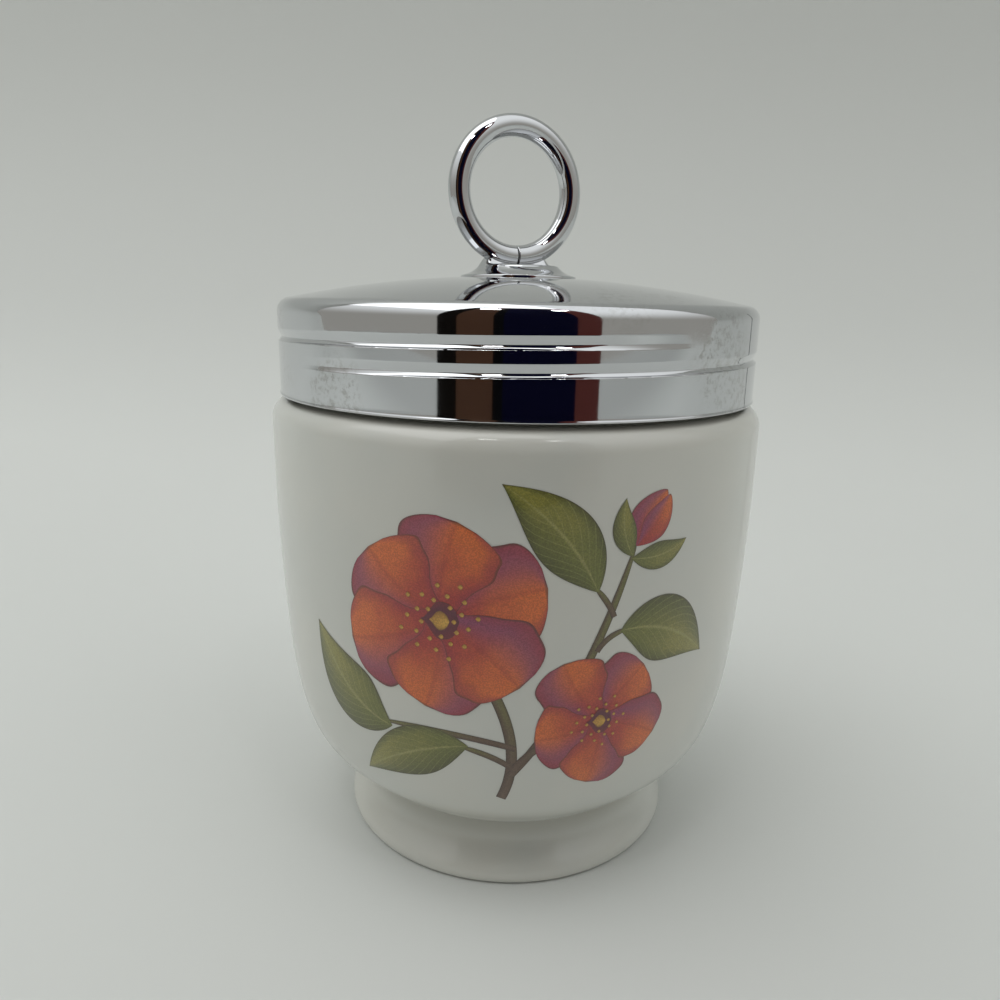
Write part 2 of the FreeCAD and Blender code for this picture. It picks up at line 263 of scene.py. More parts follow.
class Nodes:
    """A tree of nodes, with short ways to add and join them."""

    def __init__(self, tree: bpy.types.NodeTree) -> None:
        """Keeps the tree's nodes and links."""
        self.nodes = tree.nodes
        self.links = tree.links

    def node(self, kind: str, inputs: Optional[dict[object, object]] = None,
             **fields: object) -> bpy.types.Node:
        """Adds a node.

        Args:
            kind: The node's type.
            inputs: Values or other nodes' outputs for its sockets, by name or number.
            **fields: The node's own settings.

        Returns:
            The node.
        """
        made = self.nodes.new(kind)
        for name, value in fields.items():
            setattr(made, name, value)
        for socket, value in (inputs or {}).items():
            if isinstance(value, Socket):
                self.links.new(value, made.inputs[socket])
            else:
                made.inputs[socket].default_value = value
        return made

    def split(self, vector: Socket) -> list[Socket]:
        """The three numbers of a vector."""
        return list(self.node("ShaderNodeSeparateXYZ", {0: vector}).outputs)

    def noise(self, place: Socket, scale: float, detail: float = 3.0,
              roughness: float = 0.5) -> Socket:
        """A cloudy pattern, 0.5 on average, with so many clouds in a metre."""
        made = self.node("ShaderNodeTexNoise",
                         {"Vector": place, "Scale": scale, "Detail": detail, "Roughness": roughness})
        return made.outputs["Fac"]

    def math(self, operation: str, a: object, b: object = 0.0) -> Socket:
        """One sum on two numbers or sockets."""
        return self.node("ShaderNodeMath", {0: a, 1: b}, operation=operation).outputs[0]

    def times(self, a: object, b: object) -> Socket:
        """The product of two numbers."""
        return self.math("MULTIPLY", a, b)

    def plus(self, a: object, b: object) -> Socket:
        """The sum of two numbers."""
        return self.math("ADD", a, b)

    def minus(self, a: object, b: object) -> Socket:
        """The first number less the second."""
        return self.math("SUBTRACT", a, b)

    def most(self, a: object, b: object) -> Socket:
        """The greater of two numbers."""
        return self.math("MAXIMUM", a, b)

    def apart(self, a: object, b: object) -> Socket:
        """How far apart two numbers are."""
        return self.math("ABSOLUTE", self.minus(a, b))

    def stray(self, place: Socket, scale: float, reach: float) -> Socket:
        """A cloudy pattern that strays to both sides of 0."""
        return self.times(self.minus(self.noise(place, scale), 0.5), reach)

    def ramp(self, value: object, low: float, high: float, from_value: float = 0.0,
             to_value: float = 1.0) -> Socket:
        """Eases from one number to another as a value goes from low to high."""
        made = self.node("ShaderNodeMapRange", {"Value": value, "From Min": low, "From Max": high,
                                                "To Min": from_value, "To Max": to_value},
                         interpolation_type="SMOOTHSTEP")
        return made.outputs["Result"]

    def mix(self, share: object, a: object, b: object, blend: str = "MIX") -> Socket:
        """Mixes two colours.

        Args:
            share: How much of the second one.
            a: First colour or socket.
            b: Second colour or socket.
            blend: How they are mixed.

        Returns:
            The mixed colour.
        """
        made = self.node("ShaderNodeMix", data_type="RGBA", blend_type=blend)
        for number, value in ((0, share), (6, a), (7, b)):
            if isinstance(value, Socket):
                self.links.new(value, made.inputs[number])
            elif number == 0:
                made.inputs[number].default_value = value
            else:
                made.inputs[number].default_value = (*value, 1.0)
        return made.outputs[2]


class Shader(Nodes):
    """A material with one main shader."""

    def __init__(self, name: str) -> None:
        """Makes the material."""
        self.material = bpy.data.materials.new(name)
        self.material.use_nodes = True
        super().__init__(self.material.node_tree)
        self.main = self.nodes["Principled BSDF"]

    def set(self, **values: object) -> "Shader":
        """Sets values on the main shader's own sockets, named with _ for a space."""
        for name, value in values.items():
            self.main.inputs[name.replace("_", " ")].default_value = value
        return self

    def place(self) -> Socket:
        """The point on the piece, in metres."""
        return self.node("ShaderNodeTexCoord").outputs["Object"]

    def own_map(self) -> Socket:
        """The point on the piece's own UV map."""
        return self.node("ShaderNodeTexCoord").outputs["UV"]

    def bump(self, height: Socket, strength: float, distance: float) -> "Shader":
        """Lets a pattern stand out on the main shader's surface."""
        made = self.node("ShaderNodeBump", {"Height": height, "Strength": strength, "Distance": distance})
        return self.into("Normal", made.outputs[0])

    def into(self, socket: str, value: Socket) -> "Shader":
        """Joins a value to one of the main shader's sockets."""
        self.links.new(value, self.main.inputs[socket])
        return self


@dataclass(frozen=True)
class Glaze:
    """Fired porcelain under a clear, slightly wavy glaze."""

    body: Colour = (0.645, 0.645, 0.590)
    cool: Colour = (0.620, 0.630, 0.585)
    # Colour of the painted shade in the crease above the foot and under the lid's edge.
    painted_shade_tone: Colour = (0.480, 0.475, 0.420)
    speck: Colour = (0.10, 0.08, 0.06)
    roughness: float = 0.30
    coat: float = 0.7
    coat_roughness: float = 0.05
    index: float = 1.5
    cloud_scale: float = 55.0
    cell_scale: float = 85.0
    bare_cells: float = 0.90
    ripple_scale: float = 170.0
    # Height, core, reach and strength of each band of painted shade, in the crease above the foot and round
    # the neck's root under the lid's edge, in millimetres.
    painted_shade_bands: tuple[tuple[float, float, float, float], ...] = ((8.6, 0.4, 3.6, 0.85), (69.3, 0.1, 0.8, 0.5))

    def clear_coat(self, shader: Shader) -> None:
        """Gives a shader the glaze's own gloss."""
        shader.set(Roughness=self.roughness, Coat_Weight=self.coat, Coat_Roughness=self.coat_roughness,
                   Coat_IOR=self.index, IOR=self.index)

    def material(self) -> bpy.types.Material:
        """The glazed body, with faint clouds, painted shade in the crease above the foot and under the lid's
        edge, and a few specks.
        """
        shader = Shader("glazed_porcelain")
        self.clear_coat(shader)
        place = shader.place()
        height = shader.split(place)[2]
        clouds = shader.noise(place, self.cloud_scale, 2.0)
        tone = shader.mix(shader.ramp(clouds, 0.35, 0.65), self.body, self.cool)
        # Painted shade: a greyer, darker tone in the waist crease above the foot and round the neck's root
        # under the lid's edge.
        waist, root = (shader.ramp(shader.apart(height, z * MM), core * MM, reach * MM, share, 0.0)
                       for z, core, reach, share in self.painted_shade_bands)
        tone = shader.mix(shader.most(waist, root), tone, self.painted_shade_tone)
        cells = shader.node("ShaderNodeTexVoronoi", {"Vector": place, "Scale": self.cell_scale})
        chosen = shader.math("GREATER_THAN", shader.split(cells.outputs["Color"])[0], self.bare_cells)
        dot = shader.ramp(cells.outputs["Distance"], 0.010, 0.020, 1.0, 0.0)
        tone = shader.mix(shader.times(shader.times(chosen, dot), 0.75), tone, self.speck)
        shader.into("Base Color", tone)
        shader.bump(shader.noise(place, self.ripple_scale, 1.0), 0.05, 0.2 * MM)
        return shader.material


@dataclass(frozen=True)
class BarePorcelain:
    """The ring under the foot, wiped free of glaze before firing."""

    clay: Colour = (0.50, 0.485, 0.44)
    worn: Colour = (0.36, 0.34, 0.30)
    mark_scale: float = 900.0
    grain_scale: float = 6000.0

    def material(self) -> bpy.types.Material:
        """Dull, fine-grained porcelain with grey rubbing marks."""
        shader = Shader("bare_porcelain").set(Roughness=0.62, IOR=1.5)
        place = shader.place()
        marks = shader.ramp(shader.noise(place, self.mark_scale, 4.0, 0.7), 0.50, 0.68)
        shader.into("Base Color", shader.mix(marks, self.clay, self.worn))
        shader.bump(shader.noise(place, self.grain_scale, 2.0), 0.25, 0.05 * MM)
        return shader.material


@dataclass(frozen=True)
class Chrome:
    """Bright chrome plate on pressed or drawn metal."""

    name: str
    plate: Colour = (0.605, 0.616, 0.634)
    dulled: Colour = (0.46, 0.46, 0.45)
    roughness: float = 0.045
    marks: float = 1.0
    patch_scale: float = 38.0
    fray_scale: float = 260.0
    grain_scale: float = 1100.0
    haze_scale: float = 120.0
    # Middle and size of each patch of dried water marks, in millimetres.
    spots: tuple[tuple[tuple[float, float, float], float], ...] = (
        ((26.5, -24.1, 77.0), 9.5), ((-22.6, -27.9, 71.2), 7.5), ((29.0, -21.0, 71.5), 6.0))

    def material(self) -> bpy.types.Material:
        """Mirror plate with dried water marks and a faint grain."""
        shader = Shader(self.name).set(Metallic=1.0)
        place = shader.place()
        patches = shader.ramp(shader.noise(place, self.patch_scale, 2.0), 0.60, 0.72)
        for spot, size in self.spots:
            reach = size * MM
            away = shader.node("ShaderNodeVectorMath", {0: place, 1: Vector(spot) * MM},
                               operation="DISTANCE").outputs["Value"]
            frayed = shader.plus(away, shader.times(shader.noise(place, self.fray_scale, 4.0), 0.5 * reach))
            patches = shader.most(patches, shader.ramp(frayed, 0.75 * reach, 1.1 * reach, 1.0, 0.0))
        grains = shader.ramp(shader.noise(place, self.grain_scale, 5.0, 0.75), 0.46, 0.62)
        marks = shader.times(shader.times(patches, grains), self.marks)
        haze = shader.ramp(shader.noise(place, self.haze_scale), 0.45, 0.75, 0.0, 0.03)
        shader.into("Base Color", shader.mix(shader.times(marks, 0.75), self.plate, self.dulled))
        shader.into("Roughness", shader.plus(shader.times(marks, 0.16), shader.plus(haze, self.roughness)))
        shader.bump(shader.noise(place, self.fray_scale, 2.0), 0.02, 0.1 * MM)
        return shader.material


@dataclass(frozen=True)
class RivetMetal:
    """Plain riveted steel inside the lid, with the setting tool's rings."""

    bright: Colour = (0.62, 0.62, 0.61)
    dark: Colour = (0.36, 0.36, 0.35)
    ring_pitch: float = 0.28
    pit_scale: float = 700.0

    def material(self) -> bpy.types.Material:
        """Satin metal with turned rings and a few dark pits."""
        shader = Shader("rivet_metal").set(Metallic=1.0)
        place = shader.place()
        x, y, _ = shader.split(place)
        reach = shader.math("SQRT", shader.plus(shader.times(x, x), shader.times(y, y)))
        rings = shader.math("SINE", shader.times(reach, FULL_TURN / (self.ring_pitch * MM)))
        pits = shader.ramp(shader.noise(place, self.pit_scale, 4.0, 0.7), 0.56, 0.70)
        shader.into("Base Color", shader.mix(pits, self.bright, self.dark))
        shader.into("Roughness", shader.ramp(pits, 0.0, 1.0, 0.24, 0.5))
        shader.bump(shader.times(rings, 0.5), 0.15, 0.03 * MM)
        return shader.material


class Section(Enum):
    """How a thread looks when it is cut across."""

    ROUND = "a soft, even bead"
    ROLLED = "a long upper flank, a tight bottom and a steeper lower flank"


@dataclass(frozen=True)
class Helix:
    """A right-handed thread that fades in and out, in degrees about the axis and millimetres."""

    start: float
    sweep: float
    front_z: float
    pitch: float
    depth: float
    above: float
    below: float
    fade: float = 38.0
    section: Section = Section.ROUND
    bottom: float = 0.07
    brow: float = 0.12
    straight: float = 0.75
    on_wall: float = 0.02
    fine: float = 0.004

    def height(self, deg: float) -> float:
        """Height of its middle at an angle counted through its turns."""
        return self.front_z + self.pitch * (deg + 90.0) / FULL_DEG

    def flank(self, off: float) -> float:
        """The thread's cut at a height above its middle, as a share of its depth."""
        reach = self.above if off > 0.0 else self.below
        if self.section is Section.ROUND:
            return 1.0 - smooth_step(abs(off) / reach)
        softened = math.hypot(off, self.bottom) - self.bottom
        share = softened / (math.hypot(reach, self.bottom) - self.bottom)
        if off <= 0.0:
            return max(0.0, 1.0 - self.straight * share - (1.0 - self.straight) * share ** 4)
        if share < 1.0 - self.brow:
            return 1.0 - share
        return max(0.0, 1.0 + self.brow - share) ** 2 / (4.0 * self.brow)

    def stand(self, turn: float, z: float) -> float:
        """How far it stands out at a place.

        Args:
            turn: Angle about the axis, in radians.
            z: Height, in millimetres.

        Returns:
            The distance from the plain wall, in millimetres.
        """
        out = 0.0
        deg = math.degrees(turn) - 2.0 * FULL_DEG
        while deg <= self.start + self.sweep:
            if deg >= self.start:
                off = z - self.height(deg)
                run = min(deg - self.start, self.start + self.sweep - deg) / self.fade
                out = max(out, self.depth * smooth_step(run) * self.flank(off))
            deg += FULL_DEG
        return out

    def slope(self, turn: float, z: float, by_turn: float, by_z: float) -> float:
        """How fast it stands out more, along the turn or upwards."""
        ahead = self.stand(turn + by_turn, z + by_z)
        behind = self.stand(turn - by_turn, z - by_z)
        return (ahead - behind) / (2.0 * self.fine)

    def press(self, bm: bmesh.types.BMesh, wall: float, low: float, high: float, outwards: bool,
              faces_in: bool = False) -> dict[int, Vector]:
        """Moves the rows of a wall out or in along the thread.

        Args:
            bm: The mesh to shape, in metres.
            wall: Radius of the plain wall, in millimetres.
            low: Lowest row that may move.
            high: Highest row that may move.
            outwards: Whether the thread stands out of the wall or is pressed into it.
            faces_in: Whether the wall faces the axis.

        Returns:
            The true direction of the surface at each vertex that moved, by the vertex's number.
        """
        sign = 1.0 if outwards else -1.0
        bm.verts.index_update()
        facing = {}
        for vert in bm.verts:
            r = math.hypot(vert.co.x, vert.co.y) / MM
            z = vert.co.z / MM
            if abs(r - wall) > self.on_wall or not low < z < high:
                continue
            turn = math.atan2(vert.co.y, vert.co.x)
            step = self.stand(turn, z)
            if step > 0.0:
                out = Vector((math.cos(turn), math.sin(turn), 0.0))
                round_it = Vector((-math.sin(turn), math.cos(turn), 0.0))
                rise = sign * self.slope(turn, z, 0.0, self.fine)
                drift = sign * self.slope(turn, z, self.fine, 0.0) / r
                way = (out - rise * AXIS - drift * round_it).normalized()
                facing[vert.index] = -way if faces_in else way
                scale = (r + sign * step) / r
                vert.co.x *= scale
                vert.co.y *= scale
        return facing


PITCH = 3.175
GROOVE_FRONT_Z = 75.40
LID_START, LID_SWEEP = -142.0, 449.0
NECK_START, NECK_SWEEP = -330.0, 440.0


@dataclass
class Cup:
    """The porcelain cup: foot, belly, shoulder and threaded neck, in millimetres."""

    foot_r: float = 25.9
    foot_land: float = 1.9
    foot_round: float = 1.1
    waist_in: float = 3.0
    waist_z: float = 8.65
    recess_depth: float = 6.2
    recess_corner: float = 2.0
    foot_wall: float = 3.2
    body_r: float = 37.2
    widest_z: float = 59.985
    flare_share: float = 0.72
    waist_lean: float = -0.10
    belly_rise: float = 0.62
    belly: tuple[tuple[float, float], ...] = ((0.33, 0.070), (0.615, 0.147), (0.80, 0.265),
                                              (0.942, 0.550))
    wall: float = 3.30
    floor_z: float = 12.05
    floor_flat: float = 17.0
    shoulder_r: float = 3.0
    shoulder_z: float = 69.25
    neck_r: float = 33.9
    neck_in_r: float = 30.3
    neck_root: float = 0.45
    rim_z: float = 82.78
    rim_round: float = 1.10
    thread: tuple[float, float, float] = (0.80, 0.92, 0.92)
    thread_drop: float = 0.10
    bare_h: float = 0.08
    steps: int = 256
    glaze: Glaze = field(default_factory=Glaze)

    @property
    def waist_r(self) -> float:
        """Radius of the narrowest line above the foot."""
        return self.foot_r + self.foot_round - self.waist_in

    def belly_points(self) -> list[tuple[float, float]]:
        """Radius and height of the points that the belly's outline passes."""
        rise = self.widest_z - self.waist_z
        reach = self.body_r - self.waist_r
        points = [(self.waist_r + out * reach, self.waist_z + up * rise) for out, up in self.belly]
        return points + [(self.body_r, self.widest_z)]

    def foot(self) -> Outline:
        """The outline from the hollow's middle to the waist."""
        hollow_r = self.waist_r - self.foot_wall
        land_in = self.foot_r - self.foot_land
        corner_r = hollow_r - self.recess_corner
        corner_z = self.recess_depth - self.recess_corner
        edge = self.foot_r + self.foot_round
        outline = Outline().to(0.0, self.recess_depth).to(corner_r, self.recess_depth, 2.0)
        outline.arc(corner_r, corner_z, self.recess_corner, 90, 0, 8)
        outline.curve([((hollow_r + land_in) / 2.0, corner_z / 3.0), (land_in, 0.0)], None, None, 6)
        outline.to(self.foot_r, 0.0, 0.5).arc(self.foot_r, self.foot_round, self.foot_round, -90, 0, 8)
        half_way = (edge - self.flare_share * self.waist_in, (self.foot_round + self.waist_z) / 2.0)
        outline.curve([half_way, (self.waist_r, self.waist_z)], AXIS, Vector((self.waist_lean, 0, 1)), 9)
        return outline

    def side(self) -> Outline:
        """The outline of the belly from the waist to the widest line."""
        outline = Outline().to(self.waist_r, self.waist_z)
        return outline.curve(self.belly_points(), Vector((1, 0, self.belly_rise)), AXIS, 12)

    def outline(self) -> Outline:
        """The whole outline, from the hollow's middle round to the floor's middle."""
        outline = self.foot()
        outline.points.extend(self.side().points[1:])
        corner_r, corner_z = self.body_r - self.shoulder_r, self.shoulder_z - self.shoulder_r
        root_r = self.neck_r + self.neck_root
        root_z = self.shoulder_z + self.neck_root
        low_rim = self.rim_z - self.rim_round
        outline.to(self.body_r, corner_z, 1.5).arc(corner_r, corner_z, self.shoulder_r, 0, 90, 14)
        outline.to(root_r, self.shoulder_z).arc(root_r, root_z, self.neck_root, -90, -180, 5)
        outline.to(self.neck_r, low_rim, 0.16)
        outline.arc(self.neck_r - self.rim_round, low_rim, self.rim_round, 0, 90, 8)
        outline.to(self.neck_in_r + self.rim_round, self.rim_z, 0.6)
        outline.arc(self.neck_in_r + self.rim_round, low_rim, self.rim_round, 90, 180, 8)
        outline.to(self.neck_in_r, root_z, 1.5)
        outline.curve([(self.body_r - self.wall, self.widest_z)], DOWN, DOWN, 12)
        outline.curve(self.inner_points(), DOWN, INWARDS, 9)
        return outline.to(0.0, self.floor_z, 2.0)

    def inner_points(self) -> list[tuple[float, float]]:
        """Points of the inside, moved in by the wall's thickness, from the widest line to the floor."""
        places = [(self.waist_r, self.waist_z), *self.belly_points()]
        outer = [Vector((r, 0, z)) for r, z in places]
        inner = []
        for before, here, after in zip(outer[1:], outer[2:], outer[3:]):
            along = (after - before).normalized()
            inner.append((here.x - along.z * self.wall, here.z + along.x * self.wall))
        return list(reversed(inner)) + [(self.floor_flat, self.floor_z)]

    def build(self) -> bpy.types.Object:
        """Builds the cup and dresses it, in place of its CAD node."""
        bm = self.outline().spun(self.steps)
        middle = GROOVE_FRONT_Z + PITCH / 2.0 - self.thread_drop
        thread = Helix(NECK_START, NECK_SWEEP, middle, PITCH, *self.thread)
        facing = thread.press(bm, self.neck_r, self.shoulder_z + self.neck_root,
                              self.rim_z - self.rim_round, True)
        for face in bm.faces:
            if face.calc_center_median().z < self.bare_h * MM:
                face.material_index = 1
        cup = piece("glazed_cup", bm, [self.glaze.material(), BarePorcelain().material()], Body.CUP,
                    facing=facing)
        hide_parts("porcelain_cup")
        return cup


@dataclass
class Lid:
    """The pressed lid with its rolled thread, in millimetres."""

    r: float = 35.85
    sheet: float = 0.70
    edge_z: float = 69.75
    flare: float = 0.12
    flare_h: float = 0.45
    lip_r: float = 0.16
    burr: float = 0.12
    top_z: float = 87.00
    dome_r: float = 162.0
    corner: float = 1.90
    hole_r: float = 2.06
    steps: int = 288
    band_low: float = 73.4
    band_high: float = 80.6
    # Depth, reach above and reach below of the thread's outside and inside.
    groove: tuple[float, float, float] = (0.48, 1.05, 0.56)
    ridge: tuple[float, float, float] = (0.80, 1.40, 1.15)

    @property
    def dome_z(self) -> float:
        """Height of the dome's centre."""
        return self.top_z - self.dome_r

    def height_at(self, r: float, depth: float = 0.0) -> float:
        """Height of the dome at a radius, or of a face that deep below it."""
        return self.dome_z + math.sqrt((self.dome_r - depth) ** 2 - r * r)

    def hole_deg(self, radius: float) -> float:
        """Angle at which a dome of that radius meets the rivet's hole."""
        return math.degrees(math.acos(self.hole_r / radius))

    def outline(self) -> Outline:
        """The closed outline of the sheet, from the hole over the dome to the edge and back inside."""
        corner_r = self.r - self.corner
        corner_z = self.dome_z + math.sqrt((self.dome_r - self.corner) ** 2 - corner_r ** 2)
        lean = math.degrees(math.atan2(corner_z - self.dome_z, corner_r))
        inner = self.r - self.sheet
        flare_z = self.edge_z + self.flare_h
        lip_z = self.edge_z + self.lip_r
        outline = Outline().arc(0.0, self.dome_z, self.dome_r, self.hole_deg(self.dome_r), lean, 48)
        outline.arc(corner_r, corner_z, self.corner, lean, 0, 14)
        outline.to(self.r, self.band_high, 0.4).to(self.r, self.band_low, 0.06).to(self.r, flare_z, 0.5)
        outline.curve([(self.r + self.flare, lip_z)], DOWN, DOWN, 8)
        outline.arc(self.r + self.flare - self.lip_r, lip_z, self.lip_r, 0, -90, 4)
        outline.to(inner + self.flare + self.burr, self.edge_z)
        outline.to(inner + self.flare, self.edge_z + self.burr)
        outline.to(inner, flare_z).to(inner, self.band_low, 0.6).to(inner, self.band_high, 0.16)
        outline.to(inner, corner_z, 0.5).arc(corner_r, corner_z, self.corner - self.sheet, 0, lean, 10)
        under_r = self.dome_r - self.sheet
        return outline.arc(0.0, self.dome_z, under_r, lean, self.hole_deg(under_r), 40)

    def build(self) -> bpy.types.Object:
        """Builds the lid and dresses it, in place of its CAD node."""
        bm = self.outline().spun(self.steps, closed=True)
        groove = Helix(LID_START, LID_SWEEP, GROOVE_FRONT_Z, PITCH, *self.groove, section=Section.ROLLED)
        ridge = Helix(LID_START, LID_SWEEP, GROOVE_FRONT_Z, PITCH, *self.ridge)
        facing = groove.press(bm, self.r, self.band_low, self.band_high, False)
        facing |= ridge.press(bm, self.r - self.sheet, self.band_low, self.band_high, False, faces_in=True)
        lid = piece("chromed_lid", bm, [Chrome("lid_chrome").material()], Body.LID, facing=facing)
        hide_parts("lid_shell")
        return lid


@dataclass
class RingAndCollar:
    """The lift ring and the collar it is brazed to, in millimetres."""

    lid: Lid
    collar_r: float = 8.8
    collar_top_r: float = 6.2
    collar_h: float = 1.60
    collar_edge: float = 0.30
    collar_hollow: float = 0.35
    collar_dip: float = 0.18
    collar_round: float = 0.08
    lip_h: float = 0.25
    lip_w: float = 0.5
    saddle_half: float = 5.8
    saddle_run: float = 1.7
    saddle_side: float = 0.75
    saddle_fall: float = 1.05
    braze_most: float = 1.5
    ring_r: float = 9.15
    wire_r: float = 1.60
    sink: float = 0.25
    turn_deg: float = 26.6
    offset: float = -0.67
    gap: float = 0.16
    end_bevel: float = 0.15
    wire_steps: int = 56
    steps: int = 224
    chrome: Chrome = field(default_factory=lambda: Chrome("ring_chrome", marks=0.35))

    @property
    def collar_top(self) -> float:
        """Height of the collar's top."""
        return self.lid.top_z + self.collar_h

    @property
    def middle(self) -> Vector:
        """The ring's middle."""
        turn = math.radians(self.turn_deg)
        height = self.collar_top - self.sink + self.wire_r + self.ring_r
        return Vector((self.offset * math.cos(turn), self.offset * math.sin(turn), height))

    def into_place(self) -> Matrix:
        """Turns a ring drawn about +Y at the origin into its own place, in metres."""
        return Matrix.Translation(self.middle * MM) @ Matrix.Rotation(math.radians(self.turn_deg), 4, "Z")

    def build_ring(self) -> bpy.types.Object:
        """Bends the wire round until its ends meet on the collar, in place of the ring's CAD node."""
        bm = bmesh.new()
        half_gap = 0.5 * self.gap / self.ring_r
        made = bmesh.ops.create_circle(bm, cap_ends=True, segments=self.wire_steps, radius=self.wire_r * MM)
        bmesh.ops.translate(bm, verts=made["verts"], vec=(self.ring_r * MM, 0, 0))
        bmesh.ops.rotate(bm, verts=made["verts"], cent=(0, 0, 0),
                         matrix=Matrix.Rotation(0.5 * math.pi + half_gap, 3, "Y"))
        bmesh.ops.spin(bm, geom=bm.verts[:] + bm.edges[:] + bm.faces[:], cent=(0, 0, 0), axis=(0, 1, 0),
                       angle=FULL_TURN - 2.0 * half_gap, steps=self.steps)
        bmesh.ops.remove_doubles(bm, verts=bm.verts, dist=WELD)
        ends = [f for f in bm.faces if len(f.verts) > 4]
        rims = list({edge for face in ends for edge in face.edges})
        bmesh.ops.bevel(bm, geom=rims, offset=self.end_bevel * MM, affect="EDGES", segments=3, profile=0.5,
                        material=-1)
        bmesh.ops.recalc_face_normals(bm, faces=bm.faces)
        bmesh.ops.transform(bm, verts=bm.verts, matrix=self.into_place())
        ring = piece("chromed_ring", bm, [self.chrome.material()], Body.LID, 60.0)
        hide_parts("lift_ring")
        return ring

    def braze_height(self, x: float, y: float) -> float:
        """How high the braze stands on the collar's top.

        Args:
            x: Distance from the middle along the ring's plane, in millimetres.
            y: Distance square to that plane.

        Returns:
            The height in millimetres.
        """
        along = min(abs(x), self.saddle_half)
        under = self.wire_r + self.ring_r - self.sink - math.sqrt(self.ring_r ** 2 - along ** 2)
        bed = under - math.sqrt(max(0.0, self.wire_r ** 2 - min(abs(y), 1.3) ** 2)) + 0.12
        end = 1.0 - smooth_step((abs(x) - self.saddle_half + self.saddle_run) / self.saddle_run)
        side = 1.0 - smooth_step((abs(y) - self.saddle_side) / self.saddle_fall)
        return min(self.braze_most, max(0.0, bed)) * end * side

    def build_collar(self) -> bpy.types.Object:
        """Turns the collar and draws its braze up to the wire, in place of its CAD node."""
        low = self.lid.height_at(self.collar_r)
        edge_z = low + self.collar_edge
        outline = Outline().to(0.0, self.lid.height_at(0.0)).to(self.collar_r, low, 1.0)
        outline.to(self.collar_r, edge_z - self.collar_round).to(self.collar_r - self.collar_round, edge_z)
        hollow = ((self.collar_r + self.collar_top_r) / 2.0 - self.collar_hollow,
                  (edge_z + self.collar_top) / 2.0 - self.collar_dip)
        outline.curve([hollow, (self.collar_top_r, self.collar_top - self.lip_h)], None, None, 8)
        outline.curve([(self.collar_top_r - self.lip_w, self.collar_top)], Vector((-0.5, 0, 1)), INWARDS, 6)
        outline.to(0.0, self.collar_top, 0.12)
        bm = outline.spun(self.steps)
        turn = math.radians(self.turn_deg)
        for vert in bm.verts:
            x, y = vert.co.x / MM - self.middle.x, vert.co.y / MM - self.middle.y
            near = math.hypot(x, y) < self.collar_top_r + 0.6
            if near and vert.co.z / MM > self.collar_top - 0.5:
                vert.co.z += MM * self.braze_height(x * math.cos(turn) + y * math.sin(turn),
                                                    y * math.cos(turn) - x * math.sin(turn))
        bmesh.ops.recalc_face_normals(bm, faces=bm.faces)
        chrome = Chrome("collar_chrome", marks=0.5)
        collar = piece("brazed_collar", bm, [chrome.material()], Body.LID)
        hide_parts("ring_collar")
        return collar


@dataclass
class Rivet:
    """The rivet whose head is formed inside the lid, in millimetres."""

    lid: Lid
    shank_r: float = 2.0
    head_r: float = 4.2
    head_h: float = 1.10
    depth: float = 0.95
    gap: float = 0.10
    dimple: float = 0.22
    edge: float = 0.1
    steps: int = 96

    def build(self) -> bpy.types.Object:
        """Builds the rivet and dresses it, in place of its CAD node."""
        top = self.lid.height_at(self.head_r, self.lid.sheet) - self.gap
        low = top - self.head_h
        outline = Outline().to(0.0, low + self.dimple).curve([(0.8, low + 0.10), (1.3, low)], None, None, 4)
        outline.curve([(self.head_r * 0.62, low + 0.14), (self.head_r - 0.12, top - 0.42)], None, None, 6)
        outline.curve([(self.head_r, top - 0.25)], None, AXIS, 3)
        outline.to(self.head_r, top - self.edge).to(self.head_r - self.edge, top)
        outline.to(self.shank_r, top, 0.5)
        outline.to(self.shank_r, self.lid.top_z + self.depth).to(0.0, self.lid.top_z + self.depth)
        rivet = piece("set_rivet", outline.spun(self.steps), [RivetMetal().material()], Body.RIVET,
                      35.0)
        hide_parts("ring_rivet")
        return rivet


@dataclass(frozen=True)
class Ink:
    """A printed colour under the glaze, shaded along and across its own motif."""

    name: str
    base: Colour
    tip: Colour
    edge: Colour
    left: Colour
    vein: Colour
    vein_count: float
    vein_slant: float
    rib: float
    outline: Colour = (0.05, 0.035, 0.02)
    dot_scale: float = 5200.0
    glaze: Glaze = field(default_factory=Glaze)

    def material(self) -> bpy.types.Material:
        """Stippled ink with veins, a rib and a thin dark outline, read from the motif's own map."""
        shader = Shader(self.name)
        self.glaze.clear_coat(shader)
        along, across, _ = shader.split(shader.own_map())
        side = shader.times(shader.minus(across, 0.5), 2.0)
        from_rib = shader.math("ABSOLUTE", side)
        place = shader.place()
        wash = shader.plus(along, shader.stray(place, 320.0, 0.55))
        tone = shader.mix(shader.ramp(wash, 0.10, 0.90), self.base, self.tip)
        tone = shader.mix(shader.ramp(side, -0.15, 0.75, 0.0, 0.75), tone, self.left)
        shade = shader.plus(from_rib, shader.stray(place, 500.0, 0.3))
        tone = shader.mix(shader.ramp(shade, 0.55, 1.0, 0.0, 0.7), tone, self.edge)
        row = shader.minus(along, shader.times(from_rib, self.vein_slant))
        wave = shader.math("SINE", shader.times(row, FULL_TURN * self.vein_count))
        tone = shader.mix(shader.ramp(wave, 0.86, 1.0, 0.0, 0.38), tone, self.vein)
        tone = shader.mix(shader.ramp(from_rib, 0.0, 0.09, self.rib, 0.0), tone, self.vein)
        stipple = shader.ramp(shader.noise(place, self.dot_scale, 2.0, 0.6), 0.40, 0.62, 0.80, 1.12)
        dots = shader.node("ShaderNodeCombineColor", {channel: stipple for channel in range(3)})
        tone = shader.mix(1.0, tone, dots.outputs[0], "MULTIPLY")
        rim = shader.most(shader.ramp(from_rib, 0.93, 0.985), shader.ramp(along, 0.965, 0.99))
        tone = shader.mix(shader.times(rim, 0.6), tone, self.outline)
        shader.into("Base Color", tone)
        return shader.material


